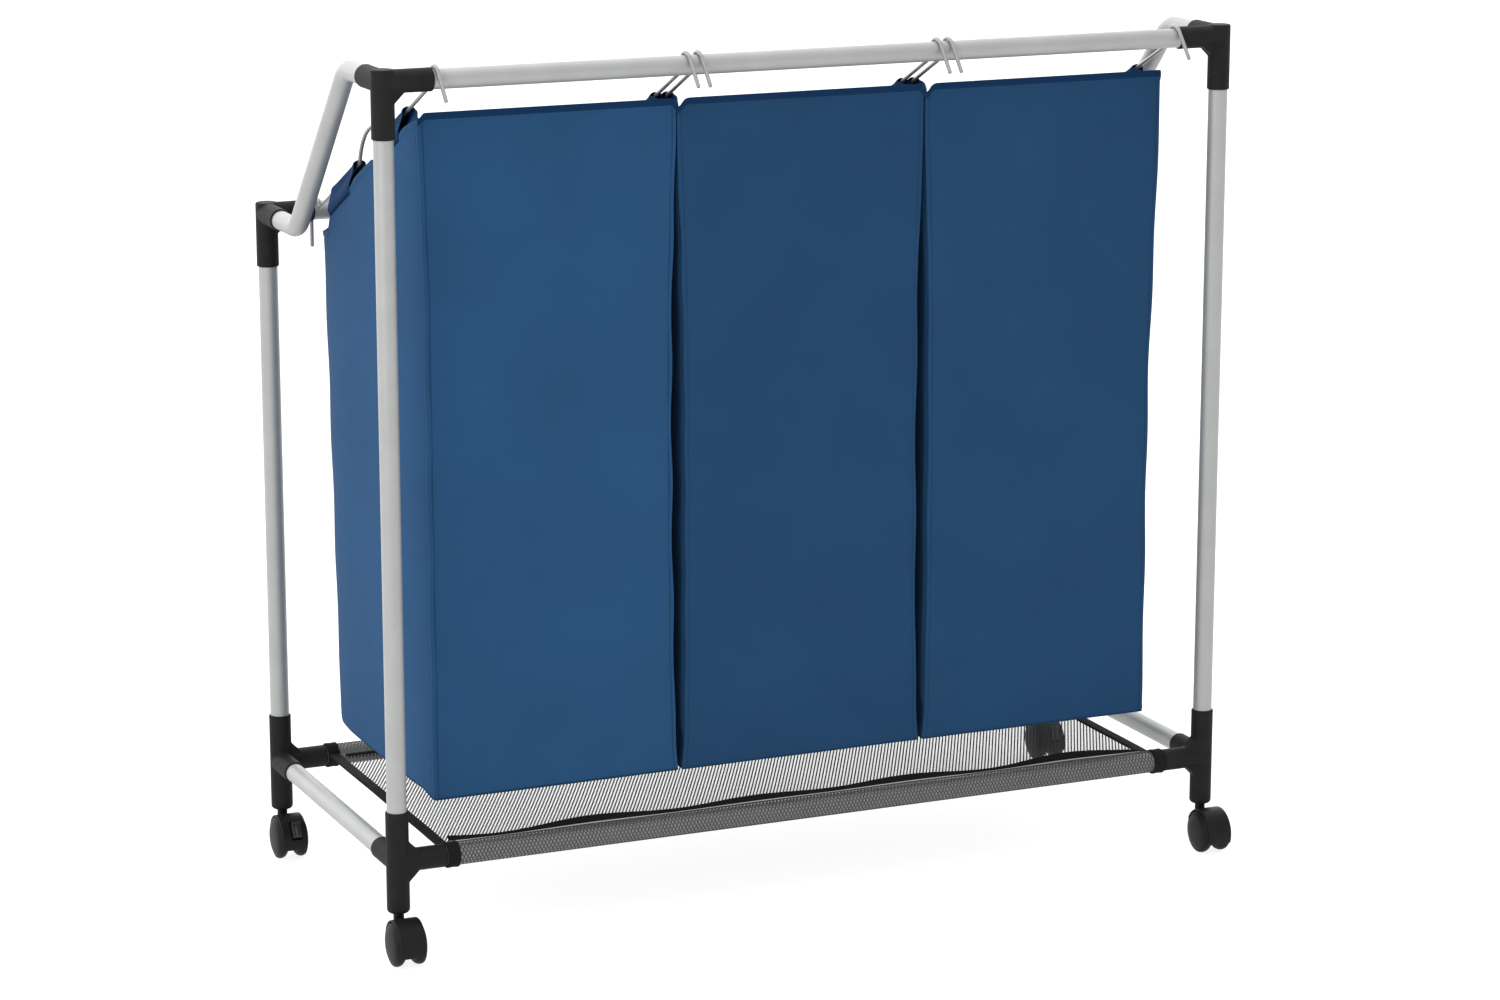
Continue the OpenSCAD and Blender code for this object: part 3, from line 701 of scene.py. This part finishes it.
def drape(obj, pinned):
    """Fills the bag out a little by cloth simulation, and caps how far any point may move."""
    rest = np.array([v.co for v in obj.data.vertices], float)
    group = obj.vertex_groups.new(name="pin")
    for i, weight in pinned.items():
        group.add([i], weight, "REPLACE")
    cloth = obj.modifiers.new("cloth", "CLOTH")
    settings = cloth.settings
    settings.quality = 5
    settings.mass = 0.25
    settings.tension_stiffness = 20
    settings.compression_stiffness = 12
    settings.shear_stiffness = 6
    settings.bending_stiffness = 0.8
    settings.use_pressure = True
    settings.uniform_pressure_force = 0.9
    settings.vertex_group_mass = "pin"
    settings.effector_weights.gravity = 0
    cloth.collision_settings.use_collision = False
    cloth.collision_settings.use_self_collision = False
    scene = bpy.context.scene
    for step in range(1, DRAPE_FRAMES + 1):
        scene.frame_set(step)
    graph = bpy.context.evaluated_depsgraph_get()
    moved = np.array([v.co for v in obj.evaluated_get(graph).data.vertices], float)
    obj.modifiers.clear()
    obj.vertex_groups.clear()
    scene.frame_set(1)
    shift = moved - rest
    length = np.linalg.norm(shift, axis=1, keepdims=True)
    shift *= np.minimum(1, DRAPE_CAP / np.maximum(length, 1e-9))
    obj.data.vertices.foreach_set("co", (rest + shift).ravel())
    obj.data.update()


def pin_weights(shell, index):
    """Holds the floor, the hem and, less firmly, the upright seams."""
    rows = shell.counts[2]
    weights = {}
    for (i, j, k), vertex in index.items():
        hem, floor = smoothstep(rows - 9, rows - 5, k), 1 - smoothstep(2, 7, k)
        weights[vertex] = max(hem, floor, 0.6 if shell.from_seam(i, j) == 0 else 0)
    return weights


def make_bag(bag, seed):
    shell = BagShell(bag, seed)
    verts, faces, index = shell.build()
    # The bag's cloth is its lit or shaded copy: painted light on the left bag, painted shade on the
    # others.
    obj = add_object(f"bag_cloth_{bag}", verts, faces, BAG_CLOTH[bag])
    drape(obj, pin_weights(shell, index))
    sew(obj, shell, index)
    casings = make_casings(bag, shell, seed)
    for piece in (obj, casings):
        thicken(piece, "cloth_thickness", CLOTH)
        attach(piece, f"bag_{bag}")
    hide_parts(f"bag_fabric_{bag}")


def make_casings(bag, shell, seed):
    """Four casings as one piece, in cloth darkened as painted shade. Their closing strips carry a
    painted shadow, the shade under each casing's lower edge.
    """
    sleeves = Builder()
    spans = [(toward, *span) for toward in (-1, 1) for span in CASINGS]
    for number, (toward, y_start, y_end) in enumerate(spans, 1):
        casing(sleeves, shell, toward, y_start, y_end, seed * 10 + number)
    casings = sleeves.build(f"bag_casings_{bag}", CASING_PAINTED_SHADE_CLOTH)
    casings.data.materials.append(CASING_EDGE_PAINTED_SHADOW)
    strips = len(CASING_SECTION) - 1
    # The first and last strips, along the lower edge, get the painted shadow.
    for polygon in casings.data.polygons:
        strip = polygon.index // CASING_STEPS % strips
        polygon.material_index = 1 if strip in (0, strips - 1) else 0
    return casings


def sew(obj, shell, index):
    """Raises the seam bands and the hem, and lets the stitch lines in.

    The stitch lines, the hem and the bottom edge get darker cloth.
    """
    nx, ny, nz = shell.counts
    shape = np.array([v.co for v in obj.data.vertices], float)
    for (i, j, k), vertex in index.items():
        on_end, on_side = j in (0, ny - 1), i in (0, nx - 1)
        if k == 0 and not (on_end or on_side):
            continue
        outward = np.zeros(3)
        if on_end:
            outward[1] += -1 if j == 0 else 1
        if on_side:
            outward[0] += -1 if i == 0 else 1
        column, row = shell.from_seam(i, j), nz - 1 - k
        amount = EDGE_RELIEF[column] if column < len(EDGE_RELIEF) else 0.0
        if row < len(HEM_RELIEF):
            amount = HEM_RELIEF[row] * (1 if on_end else 0.5)
        shape[vertex] += outward * amount
    obj.data.vertices.foreach_set("co", shape.ravel())
    obj.data.materials.append(SEAM_CLOTH)
    obj.data.materials.append(HEM_CLOTH)
    seam, hem = 1, 2
    places = {vertex: place for place, vertex in index.items()}
    for polygon in obj.data.polygons:
        i_s, j_s, k_s = zip(*[places[v] for v in polygon.vertices])
        if max(k_s) == 0:
            continue
        on_end = len(set(j_s)) == 1
        along, last = (i_s, nx - 1) if on_end else (j_s, ny - 1)
        column = min(min(along), last - max(along))
        if min(k_s) >= nz - HEM_BAND and on_end:
            polygon.material_index = hem
        elif column == STITCH_COLUMN and on_end:
            polygon.material_index = seam
        elif min(k_s) == 0:
            polygon.material_index = seam if on_end else hem


# ---- corner joints ----

ARM_R = 10.5 * MM
ARM_LENGTH = 45 * MM
GUSSET = 8 * MM
GUSSET_WIDTH = 13 * MM
ROUND = 0.8 * MM


def arm_profile(length):
    """A round arm with a slightly raised, rounded lip."""
    lip = 1.0 * MM
    raised = ARM_R + 0.15 * MM
    return [(0, 0), (ARM_R, 0), (ARM_R, length - lip * 3), (raised, length - lip * 2.4),
            (raised, length - lip), (ARM_R - lip * 0.3, length - lip * 0.3),
            (ARM_R - lip, length), (0, length)]


def corner_joint(name, node, corner, z, top):
    inward = corner_place(corner, z) @ Matrix.Diagonal((-corner[0], -corner[1], 1, 1))
    along_x = inward @ Matrix.Rotation(math.pi / 2, 4, "Y")
    along_y = inward @ Matrix.Rotation(-math.pi / 2, 4, "X")
    upside_down = inward @ Matrix.Rotation(math.pi, 4, "X")
    upright = inward @ Matrix.Rotation(math.pi / 2, 4, "X")
    above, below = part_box(node)[1].z - z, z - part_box(node)[0].z
    builder = Builder()
    builder.lathe(arm_profile(ARM_LENGTH), along_x)
    builder.lathe(arm_profile(ARM_LENGTH), along_y)
    if top:
        cap = [(0, -above), (ARM_R - ROUND, -above), (ARM_R, -above + ROUND)]
        builder.lathe(cap + arm_profile(below)[2:], upside_down)
        signs = (-1,)
    else:
        foot = [(0, 0), (ARM_R, 0), (ARM_R, below - 3 * MM), (ARM_R - ROUND, below - 1.2 * MM),
                (7.5 * MM, below), (0, below)]
        builder.lathe(arm_profile(above), inward)
        builder.lathe(foot, upside_down)
        signs = (-1, 1)
    reach = ARM_R + GUSSET
    for sign in signs:
        outline = [(0, 0), (reach, sign * (ARM_R - MM)), (ARM_R - MM, sign * reach)]
        builder.prism(outline, upright, GUSSET_WIDTH)
    obj = builder.build(name, CORNER_PLASTIC)
    moulded(obj, voxel=0.75 * MM, smoothing=5)
    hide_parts(node)
    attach(obj, "frame")


# ---- mesh shelf ----

SLEEVE_R = 10.1 * MM
RING_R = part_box("shelf_binding")[1].z - BASE_Z
BINDING_HALF_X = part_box("shelf_binding")[1].x
BINDING_WIDTH = 11 * MM
SHELF_HALF_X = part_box("mesh_shelf")[1].x
NET_HALF_X = SHELF_HALF_X + 1.5 * MM
SHELF_TOP = BASE_Z + 1.8 * MM
SAG = 2.2 * MM
SEAM_IN, SEAM_RISE = 25 * MM, 3.4 * MM
PANEL_HALF_Y = HALF_DEPTH - SEAM_IN
DIAMOND_W, DIAMOND_L = 3.5 * MM, 3.3 * MM
LEAN = DIAMOND_W / 2 / DIAMOND_L


def shelf_z(x, y):
    """The panel's height, with a slight sag in the middle and small ripples."""
    across = 1 - (x / SHELF_HALF_X) ** 2
    back = max(1 - ((y - MID_Y) / PANEL_HALF_Y) ** 2, 0)
    edge_rise = (SEAM_RISE - 1.8 * MM) * (1 - back) ** 3
    ripple = 0.35 * MM * math.sin(x * 31 + y * 17) * back
    return SHELF_TOP + edge_rise - SAG * across * back + ripple


def sleeve_outline():
    """A sleeve's section as (inward, up) about the tube, closed at the seam inside it."""
    steps = 20
    distance = math.hypot(SEAM_IN, SEAM_RISE)
    toward_seam = math.atan2(SEAM_RISE, SEAM_IN)
    opening = math.acos(SLEEVE_R / distance)
    upper, lower = toward_seam + opening, toward_seam + 2 * math.pi - opening
    turns = [upper + (lower - upper) * k / steps for k in range(steps + 1)]
    seam = (SEAM_IN, SEAM_RISE)
    around = [(SLEEVE_R * math.cos(t), SLEEVE_R * math.sin(t)) for t in turns]
    return [seam, *around, seam]


def on_sleeve(side, x, inward, up):
    return Vector((x, MID_Y + side * (HALF_DEPTH - inward), BASE_Z + up))


def leaning_thread(builder, path, start_x, lean, outline, across=None):
    """One thread of the net. It leans along X, and is cut off at the net's two ends."""
    runs = np.cumsum([0.0] + [(b - a).length for a, b in zip(path, path[1:])])
    cuts = sorted((end * NET_HALF_X - start_x) / lean for end in (-1, 1))
    first, last = max(cuts[0], 0.0), min(cuts[1], runs[-1])
    shortest, margin = 1 * MM, 0.1 * MM
    if last - first < shortest:
        return
    stops = [first, *[run for run in runs if first + margin < run < last - margin], last]
    places = np.array([tuple(p) for p in path])
    points = []
    for run in stops:
        x, y, z = (np.interp(run, runs, places[:, axis]) for axis in range(3))
        points.append(Vector((x + start_x + lean * run, y, z)))
    builder.rod(points, outline, across)


def leaning_set(builder, path, path_length, turn, outline, across=None):
    """Threads that all lean one way (turn is 1 or -1) and cover the net's whole length."""
    reach = path_length * LEAN
    for k in range(round((2 * SHELF_HALF_X + reach) / DIAMOND_W)):
        x = turn * (k + 0.5) * DIAMOND_W - turn * (SHELF_HALF_X + reach)
        leaning_thread(builder, path, x, turn * LEAN, outline, across)


def mesh_shelf():
    """A net of two sets of leaning threads, which make diamonds.

    It also runs round both long base tubes.
    """
    bold = rounded_box_outline(1.35 * MM, 0.45 * MM, 0.18 * MM, 1)
    fine = rounded_box_outline(0.4 * MM, 0.35 * MM, 0.14 * MM, 1)
    wrapped = rounded_box_outline(1.1 * MM, 0.5 * MM, 0.2 * MM, 1)
    panel = [Vector((0, MID_Y + PANEL_HALF_Y * t, 0)) for t in np.linspace(-1, 1, 41)]
    threads = Builder()
    leaning_set(threads, panel, 2 * PANEL_HALF_Y, 1, bold)
    leaning_set(threads, panel, 2 * PANEL_HALF_Y, -1, fine)
    builder = Builder()
    builder.add([(v.x, v.y, v.z + shelf_z(v.x, v.y)) for v in threads.verts], threads.faces)
    for side in (-1, 1):
        section = [on_sleeve(side, 0, *point) for point in sleeve_outline()]
        around = sum((b - a).length for a, b in zip(section, section[1:]))
        for turn in (1, -1):
            leaning_set(builder, section, around, turn, wrapped, X_AXIS)
    obj = builder.build("shelf_mesh_threads", MESH_THREAD)
    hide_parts("mesh_shelf")
    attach(obj, "frame")


def ring_profile(half, outer):
    """A ring of tape as (radius, along), with soft edges and a shallow groove."""
    inner, soft = outer - 1.7 * MM, 1.2 * MM
    edge = [(outer, half - soft), (outer - 0.3 * soft, half - 0.3 * soft), (outer - soft, half),
            (inner, half)]
    other_edge = [(radius, -along) for radius, along in reversed(edge)]
    return other_edge + [(outer - 0.4 * MM, 0)] + edge + [(inner, -half)]


def shelf_binding():
    """Black tape: a strip and two rings at each end."""
    builder = Builder()
    arm_end = POST_X - ARM_LENGTH
    ring_end = BINDING_HALF_X - BINDING_WIDTH - 0.6 * MM
    profile = ring_profile((arm_end - ring_end) / 2, RING_R)
    strip = rounded_box_outline(BINDING_WIDTH, 2.4 * MM, 1.1 * MM)
    half_length = HALF_DEPTH - SLEEVE_R * 0.8
    for side in (-1, 1):
        x = side * (BINDING_HALF_X - BINDING_WIDTH / 2)
        path = []
        for t in np.linspace(-1, 1, 31):
            waver, rise = 0.1 * MM * math.sin(t * 9), 0.1 * MM * math.sin(t * 7 + side)
            path.append(Vector((x + waver, MID_Y + t * half_length, SHELF_TOP + 0.6 * MM + rise)))
        builder.rod(path, strip)
        for corner in (-1, 1):
            ring_x = side * (arm_end + ring_end) / 2
            centre = Matrix.Translation((ring_x, MID_Y + corner * HALF_DEPTH, BASE_Z))
            builder.lathe(profile, centre @ Matrix.Rotation(math.pi / 2, 4, "Y"))
    tape = builder.build("shelf_end_binding", TAPE_CLOTH)
    recalculate_normals(tape)
    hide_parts("shelf_binding")
    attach(tape, "frame")


def shelf_seams():
    """A wavy black tape closes each sleeve. A thin pale cord along its outer edge is a painted
    highlight, where the sleeve starts to curve down.
    """
    tapes, highlights = Builder(), Builder()
    for side, seed in ((-1, 3), (1, 8)):
        rand = random.Random(seed)
        waves = [(rand.uniform(0.13, 0.27), rand.uniform(0, 2 * math.pi)) for _ in range(3)]
        rows, highlight_path = [], []
        for x in np.linspace(-SHELF_HALF_X, SHELF_HALF_X, 150):
            wave = sum(math.sin(2 * math.pi * x / length + phase) for length, phase in waves) / 2
            width = (7.5 + 1.8 * wave) * MM
            start = SEAM_IN - 1.5 * MM + 1.5 * MM * wave
            lift = (4.2 + 1.9 * wave) * MM
            section = ((0, 0.4 * MM), (0.3, 1.0 * MM + lift * 0.5), (0.55, 0.9 * MM + lift),
                       (1, -0.4 * MM + lift * 0.7))
            rows.append([on_sleeve(side, x, start + width * share, SEAM_RISE + up)
                         for share, up in section])
            # The painted highlight runs along the tape's outer edge as a thin pale cord.
            highlight_path.append(on_sleeve(side, x, start - 1.8 * MM, SEAM_RISE + 1.3 * MM))
        tapes.grid(rows)
        highlights.rod(highlight_path, rounded_box_outline(1.1 * MM, 1.0 * MM, 0.4 * MM, 1))
    tape = tapes.build("shelf_seam_tape", TAPE_CLOTH)
    thicken(tape, "tape_thickness", 1.1 * MM)
    for piece in (tape, highlights.build("shelf_seam_highlight_cord", HIGHLIGHT_CORD_PAINT)):
        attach(piece, "frame")


# ---- casters ----

WHEEL_LOW, WHEEL_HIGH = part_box("wheel_tall_left_a")
WHEEL_R = (WHEEL_HIGH.z - WHEEL_LOW.z) / 2
WHEEL_OUT = (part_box("wheel_tall_left_b")[1].x - WHEEL_LOW.x) / 2
WHEEL_BORE_R = 2.06 * MM
AXLE_IN = 4.8 * MM
HOOD_IN, HOOD_OUT = WHEEL_R + 0.8 * MM, WHEEL_R + 2.5 * MM
HOOD_W, WEB_W = 25 * MM, 8.8 * MM
HOOD_START, HOOD_END = -22, 158
WEB_IN, WEB_OUT = 2.5 * MM, 17.5 * MM
WEB_START, WEB_END = -28, 208
RIB_IN, RIB_END = 15 * MM, 156
WINDOW_START, WINDOW_END = 7, 55
WINDOW_LEFT, WINDOW_RIGHT = -3.3 * MM, 7.3 * MM


def around_axle(radius, degrees, x):
    """A point about the axle: 0 degrees is towards -Y and 90 is up."""
    angle = math.radians(degrees)
    return Vector((x, -radius * math.cos(angle), radius * math.sin(angle)))


def sector(builder, inner, outer, x_low, x_high, first, last, matrix, edge=0.8 * MM):
    """A closed curved block about the axle with rounded outer edges."""
    cut = edge * 0.3
    outline = [(inner, x_low), (outer - edge, x_low), (outer - cut, x_low + cut),
               (outer, x_low + edge), (outer, x_high - edge), (outer - cut, x_high - cut),
               (outer - edge, x_high), (inner, x_high)]
    steps = max(round((last - first) / 6), 2)
    start = len(builder.verts)
    rows = []
    for k in range(steps + 1):
        degrees = first + (last - first) * k / steps
        rows.append([matrix @ around_axle(r, degrees, x) for r, x in outline])
    builder.grid(rows, close_v=True)
    n = len(outline)
    builder.faces.append([start + i for i in range(n)][::-1])
    builder.faces.append([start + steps * n + i for i in range(n)])


def caster_body(corner, braked):
    """A hood, a web and a rib about the axle, and a neck round the stem."""
    node = f"caster_body_{corner}"
    axle = Matrix.Translation(middle(f"caster_axle_{corner}"))
    stem = corner_place(CORNERS[corner], 0)
    builder = Builder()
    half, web = HOOD_W / 2, WEB_W / 2
    hood = [(-half, half, HOOD_START, HOOD_END)]
    if braked:
        beside = WINDOW_START - 3, WINDOW_END + 3
        hood = [(-half, half, HOOD_START, WINDOW_START), (-half, WINDOW_LEFT, *beside),
                (WINDOW_RIGHT, half, *beside), (-half, half, WINDOW_END, HOOD_END)]
    for x_low, x_high, first, last in hood:
        sector(builder, HOOD_IN, HOOD_OUT, x_low, x_high, first, last, axle)
    sector(builder, WEB_IN, WEB_OUT, -web, web, WEB_START, WEB_END, axle)
    rib_start = WINDOW_END + 3 if braked else HOOD_START + 2
    sector(builder, RIB_IN, HOOD_IN + 0.6 * MM, -web, web, rib_start, RIB_END, axle)
    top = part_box(node)[1].z
    neck = [(0, 34 * MM), (4.7 * MM, 34 * MM), (4.9 * MM, 36 * MM), (4.9 * MM, top - 1.2 * MM),
            (4.4 * MM, top), (0, top)]
    builder.lathe(neck, stem, segments=32)
    block = rounded_box_outline(20 * MM, 17 * MM, 2 * MM)
    upright = Matrix.Translation((0, -7 * MM, 26.5 * MM)) @ Matrix.Rotation(math.pi / 2, 4, "Y")
    builder.prism([(y, x) for x, y in block], stem @ upright, WEB_W)
    obj = builder.build(f"caster_housing_{corner}", CASTER_PLASTIC)
    moulded(obj, voxel=0.55 * MM, smoothing=4)
    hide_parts(node)
    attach(obj, f"caster_{corner}")


def wheel(corner, which):
    """Twin-wheel half: a rounded tread, a rim line, and a plain domed disc."""
    node = f"wheel_{corner}_{which}"
    side = -1 if which == "a" else 1
    place = middle(node)
    place.x = middle(f"caster_axle_{corner}").x
    hollow = [(WHEEL_BORE_R, AXLE_IN), (6 * MM, AXLE_IN), (6 * MM, 8.5 * MM),
              (14.5 * MM, 8.5 * MM), (14.5 * MM, AXLE_IN)]
    # Millimetres in from the tread's radius, then out from the inner face or in from the outer.
    inner_tread = ((4.6, 0), (2.6, 0.7), (1.1, 2.1), (0.25, 3.8), (0, 5))
    outer_tread = ((0, 5.2), (0.25, 4), (0.9, 3.1), (1.7, 2.7), (2.0, 3.2), (2.5, 3.2), (2.8, 2.5),
                   (4.2, 1.7), (7, 0.9), (10, 0.45))
    disc = [(6 * MM, WHEEL_OUT - 0.15 * MM), (2 * MM, WHEEL_OUT), (0, WHEEL_OUT),
            (0, WHEEL_OUT - 2.2 * MM), (WHEEL_BORE_R, WHEEL_OUT - 2.2 * MM)]
    profile = [*hollow,
               *[(WHEEL_R - inset * MM, AXLE_IN + out * MM) for inset, out in inner_tread],
               *[(WHEEL_R - inset * MM, WHEEL_OUT - back * MM) for inset, back in outer_tread],
               *disc, hollow[0]]
    builder = Builder()
    turned = Matrix.Rotation(side * math.pi / 2, 4, "Y")
    builder.lathe(profile, Matrix.Translation(place) @ turned, segments=72)
    obj = builder.build(f"wheel_disc_{corner}_{which}", WHEEL_PLASTIC)
    recalculate_normals(obj)
    bevel = obj.modifiers.new("soft_edges", "BEVEL")
    bevel.width = 0.22 * MM
    bevel.segments = 2
    bevel.limit_method = "ANGLE"
    bevel.angle_limit = math.radians(32)
    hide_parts(node)
    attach(obj, f"wheel_{corner}_{which}")


def brake_lever(side):
    """A curved pad in the hood's window, with a lip to press, a rib and a stalk."""
    axle = Matrix.Translation(middle(f"caster_axle_short_{side}"))
    builder = Builder()
    # Pad, lip, rib and stalk: radii, left and right sides, angles, and the edges' rounding.
    for inner, outer, x_low, x_high, first, last, edge in (
        (22.7, 24.2, -2.5, 6.5, 13, 49, 0.5),
        (22.7, 26.2, -2.5, 6.5, 44.5, 49, 0.6),
        (23.5, 25.0, 1.2, 3.6, 17, 40, 0.4),
        (18, 23.2, -2.5, 2.5, 24, 38, 0.4),
    ):
        sector(builder, inner * MM, outer * MM, x_low * MM, x_high * MM, first, last, axle,
               edge * MM)
    # The lever's lighter plastic is a painted highlight.
    obj = builder.build(f"brake_pedal_{side}", BRAKE_HIGHLIGHT_PLASTIC)
    moulded(obj, voxel=0.3 * MM, smoothing=2)
    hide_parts(f"brake_lever_{side}")
    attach(obj, f"brake_{side}")


# ---- run ----

camera_and_stage()
finish_cad_nodes()
for bag, seed in (("left", 11), ("middle", 23), ("right", 37)):
    make_bag(bag, seed)
mesh_shelf()
shelf_binding()
shelf_seams()
for corner, signs in CORNERS.items():
    on_tall_side = signs[1] < 0
    top_z = TALL_Z if on_tall_side else SHORT_Z
    corner_joint(f"top_joint_{corner}", f"top_corner_{corner}", signs, top_z, True)
    corner_joint(f"base_joint_{corner}", f"base_corner_{corner}", signs, BASE_Z, False)
    caster_body(corner, not on_tall_side)
    wheel(corner, "a")
    wheel(corner, "b")
for side in ("left", "right"):
    brake_lever(side)
